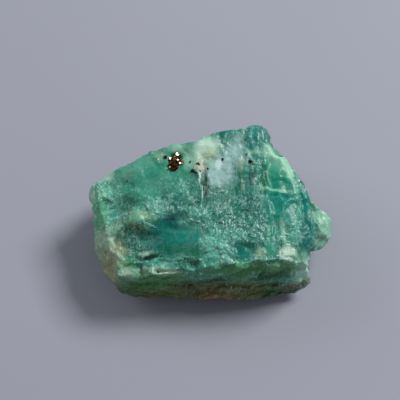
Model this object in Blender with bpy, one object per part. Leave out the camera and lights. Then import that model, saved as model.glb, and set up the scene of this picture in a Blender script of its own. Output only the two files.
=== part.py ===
"""Green hauyne, rough: one broken lump of green gem mineral with a pyrite cluster in its upper face.

The lump lies on its broad back, on a small flat foot. The origin is the middle of its base, +X runs
along its length, +Z points up, and -Y is the side of its steep front face. Shapes are worked out in
millimetres and become metres as each mesh is made."""

import math
import random

import bmesh
import bpy
import numpy as np
from mathutils import Matrix, Vector, noise

MM = 0.001

# Driving sizes, in millimetres
LENGTH = 45.8
DEPTH = 32.6
HEIGHT = 18.6
GAP = 0.3

# Fineness of the working mesh and of the finished solid
WORKING_VOXEL = 0.42
STONE_TRIANGLES = 8600
SEED = 7

# Corners of the main mass, from the left shoulder clockwise as seen from above
SHOW_FACE_RIM = (
    (-23.5, 2.0, 12.0),
    (-22.8, 3.2, 14.2),
    (-18.0, 5.3, 15.8),
    (-12.3, 7.8, 17.2),
    (-8.2, 9.0, 17.6),
    (-4.3, 8.7, 17.8),
    (-1.2, 10.2, 18.0),
    (5.0, 12.5, 18.3),
    (9.6, 11.1, 17.7),
    (13.2, 8.2, 16.6),
    (16.2, 3.3, 15.7),
    (18.7, -1.5, 14.7),
    (19.0, -5.7, 13.6),
    (18.2, -9.9, 12.8),
    (16.8, -13.4, 12.4),
    (10.5, -13.7, 14.0),
    (5.0, -14.6, 13.9),
    (2.3, -14.3, 14.1),
    (-4.9, -15.6, 13.0),
    (-13.1, -16.2, 12.2),
    (-17.4, -15.9, 11.4),
    (-21.3, -10.0, 9.0),
    (-22.4, -6.9, 9.2),
    (-22.6, -3.9, 10.2),
    (-22.5, -0.9, 11.4),
)
LOWER_RING = (
    (-22.3, -4.6, 6.0),
    (-22.4, 1.6, 7.6),
    (-19.0, 8.0, 7.0),
    (-13.0, 10.8, 5.4),
    (-5.0, 14.8, 5.5),
    (5.5, 17.3, 6.0),
    (12.0, 15.6, 6.0),
    (16.4, 6.0, 5.4),
    (18.3, -0.8, 5.0),
    (18.0, -12.2, 8.4),
    (18.7, -13.1, 4.0),
    (17.9, -14.4, 2.9),
    (16.6, -15.6, 2.5),
    (5.3, -16.9, 2.4),
    (-2.2, -16.9, 2.2),
    (-9.7, -16.4, 2.2),
    (-15.6, -16.0, 2.6),
    (-19.5, -14.7, 3.4),
    (-21.0, -11.2, 5.0),
)
# The base reaches below the foot's plane, which cuts it off flat
BASE = (
    (-8.3, -5.8, -1.4),
    (-9.0, -0.7, -1.4),
    (-5.0, 4.0, -1.4),
    (0.0, 5.4, -1.4),
    (5.4, 4.7, -1.4),
    (7.6, 0.4, -1.4),
    (6.8, -5.0, -1.4),
    (2.9, -7.6, -1.4),
    (-3.6, -7.6, -1.4),
)

# The knob is the head of a pillar that runs down the far corner
KNOB = (
    (6.4, 12.6, 18.3),
    (7.4, 13.5, 18.6),
    (8.7, 14.5, 19.2),
    (10.0, 14.3, 19.0),
    (10.9, 12.8, 18.1),
    (10.5, 9.1, 17.0),
    (7.6, 7.1, 17.6),
    (6.2, 10.1, 18.1),
    (6.4, 17.2, 7.6),
    (10.8, 17.1, 7.6),
    (12.6, 10.1, 6.0),
    (6.0, 9.1, 6.0),
)

# The right-hand lobe is a lower block that grew against the main mass
LOBE = (
    (16.4, 2.6, 11.4),
    (20.4, -1.2, 9.9),
    (22.7, -2.0, 9.5),
    (23.2, -3.4, 8.8),
    (22.7, -5.5, 7.7),
    (20.6, -7.0, 7.0),
    (18.2, -8.3, 6.8),
    (14.0, -6.9, 11.0),
    (13.0, 2.1, 11.6),
    (19.2, 0.6, 6.0),
    (21.4, -1.5, 4.6),
    (20.6, -4.9, 3.8),
    (16.8, -7.5, 2.8),
    (14.0, 3.1, 2.6),
)

# Facets where the lump broke flat: a point on the break and the way that the new face looks
FLAT_BREAKS = (
    # lower left of the show face, falling away to the left and the front
    ((-20.0, -8.2, 12.4), (-0.60, -0.28, 0.75)),
    # steep lower left corner
    ((-20.9, -12.2, 6.0), (-0.84, -0.54, 0.05)),
    # far right bevel between the knob and the rim
    ((13.4, 6.7, 16.6), (0.48, 0.42, 0.77)),
    # right rim, facing right
    ((18.5, -3.5, 14.0), (0.83, 0.05, 0.56)),
    # front right corner
    ((17.7, -11.9, 11.6), (0.86, -0.28, 0.42)),
    # right half of the show face, sloping gently to the right
    ((9.0, 2.1, 17.0), (0.13, -0.10, 0.98)),
    # left end, behind the shoulder
    ((-21.4, 5.1, 10.0), (-0.80, 0.60, 0.10)),
    # far side, three broad faces
    ((-15.0, 9.4, 11.0), (-0.38, 0.90, 0.20)),
    ((1.0, 13.9, 12.0), (-0.30, 0.90, 0.31)),
    ((14.8, 10.1, 10.0), (0.70, 0.70, 0.08)),
    # undersides
    ((-15.5, 7.1, 2.2), (-0.42, 0.50, -0.76)),
    ((6.0, 12.0, 2.0), (0.05, 0.62, -0.78)),
    ((15.5, 3.1, 1.8), (0.60, 0.22, -0.76)),
)

# Hollows in the show face: centre, half width along X, half width to the far and the near side,
# turn in degrees, depth and steepness of the wall
HOLLOWS = (
    (-9.6, -8.2, 8.9, 3.6, 5.2, 8, 0.9, 2.4),
    (-14.3, -8.9, 4.6, 2.6, 3.6, -6, 1.4, 2.8),
    (-6.2, -7.5, 4.6, 3.0, 4.0, 10, 0.7, 2.2),
    (-20.4, -1.6, 1.8, 1.0, 1.4, 0, 0.7, 2.0),
    (5.1, -11.2, 2.6, 1.5, 1.5, 0, 0.7, 2.6),
    (1.6, 2.9, 3.6, 5.2, 5.6, 4, 0.5, 3.0),
    (12.2, 9.5, 1.6, 1.6, 2.2, 0, 0.9, 2.0),
)

# Dents in the sides: centre, half width along X, Y and Z, and how far its middle moves
DENTS = (
    # notch between the lobe and the front right corner
    ((19.0, -9.4, 5.0), (3.0, 2.6, 8.0), (-1.5, 0.0, 0.0)),
    # crease between the lobe and the rim
    ((19.0, 0.2, 11.0), (2.2, 2.4, 3.0), (-0.9, -0.5, 0.0)),
    # waist under the left shoulder
    ((-23.0, -1.6, 10.5), (2.0, 1.8, 4.0), (0.7, 0.0, 0.0)),
    # dip in the far edge beside the pyrite
    ((-4.4, 9.4, 17.0), (3.6, 2.2, 3.2), (0.0, -0.7, -0.1)),
    # long shallow bays in the far side
    ((-8.0, 13.0, 9.0), (6.4, 3.0, 2.8), (0.2, -0.9, 0.0)),
    ((3.4, 16.0, 10.5), (2.6, 2.6, 6.5), (0.0, -0.8, 0.0)),
    # hollow low in the front face
    ((9.0, -16.0, 5.0), (5.0, 2.0, 2.4), (0.0, 0.8, 0.0)),
)

# Steps in the show face: a line in plan from point to point, how far the surface to the right of
# the line drops, and how far from the line the drop reaches
STEPS = (
    ((-2.1, -2.5), (-1.9, 7.3), 0.55, 4.0),
    ((9.6, -0.9), (9.8, 6.5), 0.50, 3.4),
    ((10.6, -8.4), (10.2, -1.1), 0.40, 3.0),
    ((-9.0, -1.5), (-20.0, 1.6), 0.50, 4.0),
    ((14.4, -13.7), (12.6, -7.3), 0.45, 3.0),
)

# Ledges under the near lip of the show face: middle in plan, half length, width and drop
LIP_LEDGES = (
    (-14.6, -15.1, 2.8, 1.5, 1.1),
    (-7.0, -14.5, 4.4, 1.3, 0.9),
    (3.2, -13.7, 3.2, 1.0, 0.6),
)

# Plates on each side of the lump: the way the side looks, a plate's usual size along X, Y and Z,
# how deep the lowest plate lies and how many levels there are
SIDE_PLATES = (
    ((0.0, -1.0, 0.0), (12.5, 3.3, 2.0), 1.4, 4),
    ((0.0, 1.0, 0.0), (6.2, 4.0, 3.3), 1.4, 3),
    ((-1.0, 0.0, 0.0), (4.0, 6.2, 3.3), 0.9, 3),
    ((1.0, 0.0, 0.0), (4.0, 5.6, 3.8), 0.7, 3),
    ((0.0, 0.0, 1.0), (4.5, 7.7, 4.0), 0.5, 3),
    ((0.0, 0.0, -1.0), (6.2, 7.1, 5.0), 1.2, 2),
)

# Small chips off whatever stands out: how many, how deep, and how far they may look up or down
CHIPS = 30
CHIP_DEPTH = (0.10, 0.45)
CHIP_RISE = (-0.7, 0.3)

# Broken facets, the lumps on them and the soft wave under both: usual size and height
FACET_SIZE = 4.6
FACET_HEIGHT = 0.40
LUMP_SIZE = 1.9
LUMP_HEIGHT = 0.16
WAVE_SIZE = 7.0
WAVE_HEIGHT = 0.20

# How far the outlines of the hollows, steps and ledges wander, and the size of their bends
WANDER = 0.7
WANDER_SIZE = 2.6

# Where a surface starts and where it fully counts as one side's, by how squarely it faces that way
SIDE_FACING = (0.45, 0.80)
UP_FACING = (0.10, 0.50)
# Heights between which the show face's forms fade in
SHOW_FACE_RISE = (9.0, 11.0)

# The part of each plate's rise that its steep edge takes up
PLATE_EDGE = (0.36, 0.64)
# A step's edge runs over this distance on each side of its line, and its ends over this one
STEP_EDGE = 0.25
STEP_END = 0.6
# A step keeps its drop for this share of its reach, and a ledge for this share of its half size
STEP_KEEPS = 0.3
LEDGE_KEEPS = 0.75
# A higher power makes a dent's wall steeper and its floor flatter
DENT_POWER = 2.5

# Noise of the same size differs by these offsets, and the gain brings it to about -1 to 1
WANDER_OFFSETS = (21.0, 37.0, 53.0)
WAVE_OFFSET = 11.0
PLATE_OFFSET = 3.0
NOISE_GAIN = 1.6

# Large uneven numbers that turn a whole-number corner into a chance value
CHANCE_AXES = (127.1, 311.7, 74.7)
CHANCE_STEP = 19.19
CHANCE_SPREAD = 43758.5453

# Pyrite crystals: place in plan, height of the middle above the cluster's bed, width, and turns
# about X, Y and Z in degrees
PYRITE_BED = 16.35
PYRITE = (
    (-6.95, 5.20, 0.50, 1.00, (18, 8, 24)),
    (-7.05, 5.85, 0.52, 0.90, (-12, 22, 52)),
    (-7.35, 4.70, 0.42, 0.80, (30, -14, 8)),
    (-6.55, 4.85, 0.40, 0.75, (-24, 6, 70)),
    (-6.60, 6.75, 0.55, 0.75, (14, 30, 38)),
    (-6.90, 6.40, 0.42, 0.70, (40, 12, 12)),
    (-6.15, 5.45, 0.34, 0.60, (8, -28, 30)),
)
# Share of each crystal's half width that its cut corners take
CORNER_CUT = 0.30
# The pit is open this far above the crystals
PIT_OPENING = 3.0

# The block that cuts the foot flat: half its width and its depth
GROUND_REACH = 60.0
GROUND_DEPTH = 10.0

STONE_GREEN = (0.050, 0.240, 0.178, 1.0)
STONE_ROUGHNESS = 0.35
PYRITE_BROWN = (0.260, 0.180, 0.080, 1.0)
PYRITE_ROUGHNESS = 0.32


def clear_scene():
    for obj in list(bpy.data.objects):
        bpy.data.objects.remove(obj, do_unlink=True)


def add_object(name, mesh):
    obj = bpy.data.objects.new(name, mesh)
    bpy.context.scene.collection.objects.link(obj)
    return obj


def hull_object(name, corners):
    """The convex block whose corners are given in millimetres."""
    shape = bmesh.new()
    for corner in corners:
        shape.verts.new(Vector(corner) * MM)
    hull = bmesh.ops.convex_hull(shape, input=shape.verts)
    inside = [item for item in hull["geom_interior"] if isinstance(item, bmesh.types.BMVert)]
    bmesh.ops.delete(shape, geom=inside, context="VERTS")
    bmesh.ops.recalc_face_normals(shape, faces=shape.faces)
    mesh = bpy.data.meshes.new(name)
    shape.to_mesh(mesh)
    shape.free()
    return add_object(name, mesh)


def as_helper(obj):
    """A shape that only cuts or joins another one."""
    obj.hide_render = True
    obj.display_type = "WIRE"
    return obj


def add_boolean(obj, other, operation):
    modifier = obj.modifiers.new(operation.title(), "BOOLEAN")
    modifier.operation = operation
    modifier.object = other


def evaluated_mesh(obj):
    graph = bpy.context.evaluated_depsgraph_get()
    return bpy.data.meshes.new_from_object(obj.evaluated_get(graph), depsgraph=graph)


def read_points(mesh, normals=False):
    """The mesh's points in millimetres, or its point normals."""
    values = np.empty(len(mesh.vertices) * 3, np.float32)
    if normals:
        mesh.vertices.foreach_get("normal", values)
        return values.reshape(-1, 3).astype(float)
    mesh.vertices.foreach_get("co", values)
    return values.reshape(-1, 3).astype(float) / MM


def write_points(mesh, points):
    mesh.vertices.foreach_set("co", (points * MM).astype(np.float32).ravel())
    mesh.update()


def smooth_step(value, low, high):
    share = np.clip((value - low) / (high - low), 0.0, 1.0)
    return share * share * (3.0 - 2.0 * share)


def wave(points, size, offset):
    """Soft noise, about -1 to 1, whose bumps are the given size in millimetres (one, or one an axis)."""
    scaled = points / np.asarray(size, float) + offset
    return np.array([noise.noise(Vector(place)) for place in scaled]) * NOISE_GAIN


def break_flat(points, on_break, facing):
    """Moves what stands past the break back onto its plane."""
    facing = np.array(facing) / np.linalg.norm(facing)
    past = np.maximum((points - np.array(on_break)) @ facing, 0.0)
    return points - past[:, None] * facing


def hollow_depth(plan, hollow):
    """How deep one rounded hollow with a steep wall is at each place in plan."""
    x, y, half_width, far, near, turn, depth, steepness = hollow
    angle = math.radians(turn)
    along = (plan[:, 0] - x) * math.cos(angle) + (plan[:, 1] - y) * math.sin(angle)
    across = (plan[:, 1] - y) * math.cos(angle) - (plan[:, 0] - x) * math.sin(angle)
    reach = np.where(across > 0.0, far, near)
    radius = np.sqrt((along / half_width) ** 2 + (across / reach) ** 2)
    return depth * np.clip(1.0 - radius**steepness, 0.0, 1.0)


def dent(loose, place):
    """How far each point moves in one rounded dent."""
    centre, reach, move = place
    radius = np.linalg.norm((loose - np.array(centre)) / np.array(reach), axis=1)
    return np.clip(1.0 - radius**DENT_POWER, 0.0, 1.0)[:, None] * np.array(move)


def step_depth(plan, step):
    """How far the face drops beside a line, most at the line and fading out further from it."""
    start, end, drop, reach = step
    start = np.array(start)
    run = np.array(end) - start
    length = np.linalg.norm(run)
    run = run / length
    away = plan - start
    along = away @ run
    right = away @ np.array((run[1], -run[0]))
    begins = smooth_step(along, -STEP_END, STEP_END)
    ends = smooth_step(along, length - STEP_END, length + STEP_END)
    falls = smooth_step(right, -STEP_EDGE, STEP_EDGE)
    fades = smooth_step(right, STEP_KEEPS * reach, reach)
    return drop * begins * (1.0 - ends) * falls * (1.0 - fades)


def ledge_depth(plan, ledge):
    """How deep one narrow shelf in the near lip is at each place in plan."""
    x, y, half_length, width, drop = ledge
    along = np.abs(plan[:, 0] - x) / half_length
    across = np.abs(plan[:, 1] - y) / width
    fades = [1.0 - smooth_step(share, LEDGE_KEEPS, 1.0) for share in (along, across)]
    return drop * fades[0] * fades[1]


def plates(points, normals, side):
    """How far each point of one side stands out, as flat plates with steep edges."""
    facing, size, depth, levels = side
    weight = smooth_step(normals @ np.array(facing), *SIDE_FACING)
    levelled = (0.5 - 0.5 * wave(points, size, PLATE_OFFSET + levels)) * levels
    whole = np.floor(levelled)
    plate = whole + smooth_step(levelled - whole, *PLATE_EDGE)
    return -plate / levels * depth * weight


def knock_chips(points, source):
    """Small flat chips broken from whatever stands out furthest in a chance direction."""
    for _ in range(CHIPS):
        turn = source.uniform(0.0, 2.0 * math.pi)
        rise = source.uniform(*CHIP_RISE)
        flat = math.sqrt(1.0 - rise * rise)
        facing = np.array((flat * math.cos(turn), flat * math.sin(turn), rise))
        depth = source.uniform(*CHIP_DEPTH)
        reach = (points @ facing).max()
        points = break_flat(points, facing * (reach - depth), facing)
    return points


def lumps(points, size, seed):
    """Irregular flat-faced lumps: each point takes the tilt of the nearest scattered centre."""
    cell = np.floor(points / size)
    nearest = np.full(len(points), np.inf)
    value = np.zeros(len(points))
    for shift in np.ndindex(3, 3, 3):
        corner = cell + np.array(shift) - 1.0
        chance = [hashed(corner, seed + number) for number in range(6)]
        centre = (corner + np.stack(chance[:3], axis=1)) * size
        away = points - centre
        distance = (away**2).sum(axis=1)
        tilt = np.stack(chance[3:], axis=1) - 0.5
        height = (away * tilt).sum(axis=1) / size + chance[3] - 0.5
        closer = distance < nearest
        nearest = np.where(closer, distance, nearest)
        value = np.where(closer, height, value)
    return value


def hashed(corner, number):
    """A repeatable chance value from 0 to 1 for each whole-number corner."""
    mixed = corner @ np.array(CHANCE_AXES) + number * CHANCE_STEP
    return np.modf(np.abs(np.sin(mixed) * CHANCE_SPREAD))[0]


def fit_to_size(points):
    """Brings the lump to its driving sizes, with the foot's plane at zero height."""
    low = points.min(axis=0)
    high = points.max(axis=0)
    points[:, 0] = (points[:, 0] - (low[0] + high[0]) / 2.0) * LENGTH / (high[0] - low[0])
    points[:, 1] = (points[:, 1] - (low[1] + high[1]) / 2.0) * DEPTH / (high[1] - low[1])
    points[:, 2] *= HEIGHT / high[2]
    return points


def loosened(points):
    """The points moved about a little, so that an outline worked out from them wanders."""
    moves = [wave(points, WANDER_SIZE, offset) for offset in WANDER_OFFSETS]
    return points + WANDER * np.stack(moves, axis=1)


def sculpt(mesh):
    """Gives the joined masses their breaks, dents, hollows, steps, ledges, plates and lumps."""
    points = read_points(mesh)
    for on_break, facing in FLAT_BREAKS:
        points = break_flat(points, on_break, facing)
    loose = loosened(points)
    points = points + sum(dent(loose, place) for place in DENTS)
    write_points(mesh, points)
    normals = read_points(mesh, normals=True)
    on_show_face = smooth_step(normals[:, 2], *UP_FACING) * smooth_step(points[:, 2], *SHOW_FACE_RISE)
    plan = loose[:, :2]
    dug = sum(step_depth(plan, step) for step in STEPS)
    dug = dug + sum(hollow_depth(plan, hollow) for hollow in HOLLOWS)
    dug = dug + sum(ledge_depth(plan, ledge) for ledge in LIP_LEDGES)
    points[:, 2] -= dug * on_show_face
    out = WAVE_HEIGHT * wave(points, WAVE_SIZE, WAVE_OFFSET)
    for side in SIDE_PLATES:
        out = out + plates(points, normals, side)
    out = out + FACET_HEIGHT * lumps(points, FACET_SIZE, SEED)
    out = out + LUMP_HEIGHT * lumps(points, LUMP_SIZE, SEED + 1)
    points = points + normals * out[:, None]
    points = knock_chips(points, random.Random(SEED))
    write_points(mesh, points)


def thinned(mesh, triangles):
    """The same surface with about the given number of triangles, few where it is flat."""
    obj = add_object("thinning", mesh)
    modifier = obj.modifiers.new("Thin", "DECIMATE")
    mesh.calc_loop_triangles()
    modifier.ratio = triangles / len(mesh.loop_triangles)
    result = evaluated_mesh(obj)
    bpy.data.objects.remove(obj, do_unlink=True)
    return result


def plain_material(name, colour, roughness, metallic):
    material = bpy.data.materials.new(name)
    material.use_nodes = True
    shader = material.node_tree.nodes["Principled BSDF"]
    shader.inputs["Base Color"].default_value = colour
    shader.inputs["Roughness"].default_value = roughness
    shader.inputs["Metallic"].default_value = metallic
    return material


def joined_masses():
    """The main mass, the knob's pillar and the lobe as one closed skin of even fineness."""
    body = hull_object("masses", SHOW_FACE_RIM + LOWER_RING + BASE)
    others = [hull_object("knob", KNOB), hull_object("lobe", LOBE)]
    for other in others:
        add_boolean(body, as_helper(other), "UNION")
    skin = body.modifiers.new("Even skin", "REMESH")
    skin.mode = "VOXEL"
    skin.voxel_size = WORKING_VOXEL * MM
    mesh = evaluated_mesh(body)
    for obj in [body] + others:
        bpy.data.objects.remove(obj, do_unlink=True)
    return mesh


def crystal_corners(crystal, grow):
    """Corners of one cube with its corners cut, in millimetres, larger all round by grow."""
    x, y, height, width, turns = crystal
    half = width / 2.0 + grow
    turned = Matrix.Rotation(math.radians(turns[2]), 3, "Z")
    turned = turned @ Matrix.Rotation(math.radians(turns[1]), 3, "Y")
    turned = turned @ Matrix.Rotation(math.radians(turns[0]), 3, "X")
    middle = Vector((x, y, PYRITE_BED + height))
    corners = []
    for signs in np.ndindex(2, 2, 2):
        signs = [2 * sign - 1 for sign in signs]
        for axis in range(3):
            corner = [half * sign for sign in signs]
            corner[axis] *= 1.0 - CORNER_CUT
            corners.append(middle + turned @ Vector(corner))
    return corners


def make_pyrite():
    """The crystals grown together into one solid."""
    first, *rest = [
        hull_object("pyrite_cluster" if number == 0 else f"crystal_{number}", crystal_corners(crystal, 0.0))
        for number, crystal in enumerate(PYRITE)
    ]
    for crystal in rest:
        add_boolean(first, as_helper(crystal), "UNION")
    material = plain_material("pyrite", PYRITE_BROWN, PYRITE_ROUGHNESS, 1.0)
    first.data.materials.append(material)
    return first


def make_pit():
    """The pit that holds the pyrite: its crystals' outline with the gap all round, open upwards."""
    corners = [corner for crystal in PYRITE for corner in crystal_corners(crystal, GAP)]
    raised = [corner + Vector((0.0, 0.0, PIT_OPENING)) for corner in corners]
    return as_helper(hull_object("pyrite_pit", corners + raised))


def make_ground():
    """Everything under the foot's plane."""
    sides = (-GROUND_REACH, GROUND_REACH)
    corners = [(x, y, z) for x in sides for y in sides for z in (-GROUND_DEPTH, 0.0)]
    return as_helper(hull_object("ground_cut", corners))


def make_stone():
    mesh = joined_masses()
    sculpt(mesh)
    mesh = thinned(mesh, STONE_TRIANGLES)
    write_points(mesh, fit_to_size(read_points(mesh)))
    mesh.name = "stone"
    stone = add_object("stone", mesh)
    add_boolean(stone, make_ground(), "DIFFERENCE")
    add_boolean(stone, make_pit(), "DIFFERENCE")
    mesh.materials.clear()
    mesh.materials.append(plain_material("stone", STONE_GREEN, STONE_ROUGHNESS, 0.0))
    return stone


def main():
    clear_scene()
    make_stone()
    make_pyrite()


main()
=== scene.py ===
"""Green hauyne specimen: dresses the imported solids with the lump's broken surface, its crystals and colours.

Lengths in the tables are millimetres in the specimen's own frame: +X along the lump, +Y to its far side
and +Z up out of its show face. Blender's objects are in metres."""

import math
import random

import bmesh
import bpy
import numpy as np
from bpy.props import FloatProperty, FloatVectorProperty, IntProperty, PointerProperty
from bpy.types import Operator, Panel, PropertyGroup
from mathutils import Matrix, Vector, noise
from mathutils.bvhtree import BVHTree


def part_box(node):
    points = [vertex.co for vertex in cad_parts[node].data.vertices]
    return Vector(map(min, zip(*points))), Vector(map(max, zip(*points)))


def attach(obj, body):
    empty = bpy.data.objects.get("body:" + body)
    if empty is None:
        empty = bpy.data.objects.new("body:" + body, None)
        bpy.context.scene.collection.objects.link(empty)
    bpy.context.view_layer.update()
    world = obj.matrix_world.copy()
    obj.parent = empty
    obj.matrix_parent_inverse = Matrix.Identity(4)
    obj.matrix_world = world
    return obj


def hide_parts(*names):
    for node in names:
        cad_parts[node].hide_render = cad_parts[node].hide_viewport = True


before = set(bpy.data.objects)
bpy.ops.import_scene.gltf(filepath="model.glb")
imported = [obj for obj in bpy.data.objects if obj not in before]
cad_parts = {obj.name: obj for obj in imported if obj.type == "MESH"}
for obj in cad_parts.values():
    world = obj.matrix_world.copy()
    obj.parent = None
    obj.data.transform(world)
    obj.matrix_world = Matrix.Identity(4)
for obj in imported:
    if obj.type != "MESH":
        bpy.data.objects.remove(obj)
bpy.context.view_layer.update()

bl_info = {
    "name": "Green Hauyne Specimen",
    "version": (1, 0, 0),
    "blender": (4, 5, 0),
    "location": "3D View > Sidebar > Hauyne",
    "description": "Builds the surface, crystals, colours and stage of a green hauyne lump",
    "category": "Add Mesh",
}

MM = 0.001


def paint(red, green, blue):
    """A display colour, 0 to 255, as the linear values that a shader takes."""
    shares = [value / 255.0 for value in (red, green, blue)]
    return tuple(s / 12.92 if s <= 0.04045 else ((s + 0.055) / 1.055) ** 2.4 for s in shares)


# The colours of the mineral's zones: where each shows, and its shade from 0 to 255
PALETTE = {
    "sea_green": ("The lump's usual colour", (54, 152, 128)),
    "shade_green": ("Clearer stretches of the usual colour", (18, 112, 96)),
    "glass_green": ("Smooth glassy ground", (60, 154, 130)),
    "light_glass": ("Lighter smooth pieces", (86, 164, 140)),
    "emerald": ("Smooth panels", (12, 140, 114)),
    "deep_green": ("Clear dark green pieces", (6, 96, 68)),
    "teal": ("Deep clear pools", (0, 112, 102)),
    "bright_teal": ("Lit clear pieces", (0, 134, 120)),
    "blue_teal": ("The deepest pools", (0, 110, 104)),
    "knob_teal": ("The glassy knob", (6, 124, 116)),
    "shoulder": ("Frosted left shoulder", (108, 190, 164)),
    "left_green": ("The left end", (84, 178, 134)),
    "hollow_green": ("Ground of the dark hollow", (28, 104, 88)),
    "sugar": ("Crushed, granular crystal", (100, 188, 168)),
    "grey_sugar": ("Granular crystal with dark gaps", (40, 130, 118)),
    "moss_grey": ("Greyish granular crystal", (84, 136, 122)),
    # Bright grains, partly painted glints
    "sparkle": ("Single bright grains", (196, 232, 224)),
    "mint": ("Pale edges", (164, 222, 194)),
    "pale_mint": ("The palest cleavage pieces", (206, 240, 222)),
    "cream": ("Cream vein by the crystals", (212, 248, 226)),
    "yellow_cream": ("Yellowish part of the vein", (196, 206, 146)),
    "milk": ("Bluish milky window", (166, 206, 206)),
    # This white also paints highlights on the window and on the knob
    "milk_white": ("The window's bright spot", (224, 255, 252)),
    "pink_beige": ("Pinkish cleavage piece", (206, 202, 186)),
    "beige": ("Weathered ridges", (170, 190, 160)),
    "olive_beige": ("Weathered end facet", (160, 162, 124)),
    "olive": ("Lower side of the lobe", (136, 190, 150)),
    "pale_ledge": ("Crumbly ledges along the lip", (180, 212, 184)),
    "lip_green": ("Green band under the lip", (86, 156, 88)),
    # The moss colours are partly painted shade of the front face, which turns away from the light
    "moss": ("Dark front face", (84, 98, 34)),
    "dark_moss": ("Darkest layers of the front face", (46, 62, 18)),
    "olive_brown": ("Brown layers of the front face", (114, 92, 38)),
    "pink_brown": ("Pinkish weathered flecks", (180, 96, 68)),
    "rust": ("Iron stain", (104, 52, 18)),
    "shadow_green": ("Cracks and gaps", (14, 62, 52)),
}

# How a patch is broken: share of sugar grains, of fibres along Y and of layers along X
GLASS = (0.06, 0.10, 0.00)
CLOUD = (0.35, 0.10, 0.00)
SUGAR = (1.00, 0.00, 0.00)
HALF_SUGAR = (0.60, 0.20, 0.00)
FIBRES = (0.15, 1.00, 0.00)
SUGAR_FIBRES = (0.80, 0.70, 0.00)
LAYERS = (0.20, 0.00, 1.00)
CRUMBS = (0.90, 0.00, 0.50)

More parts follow.
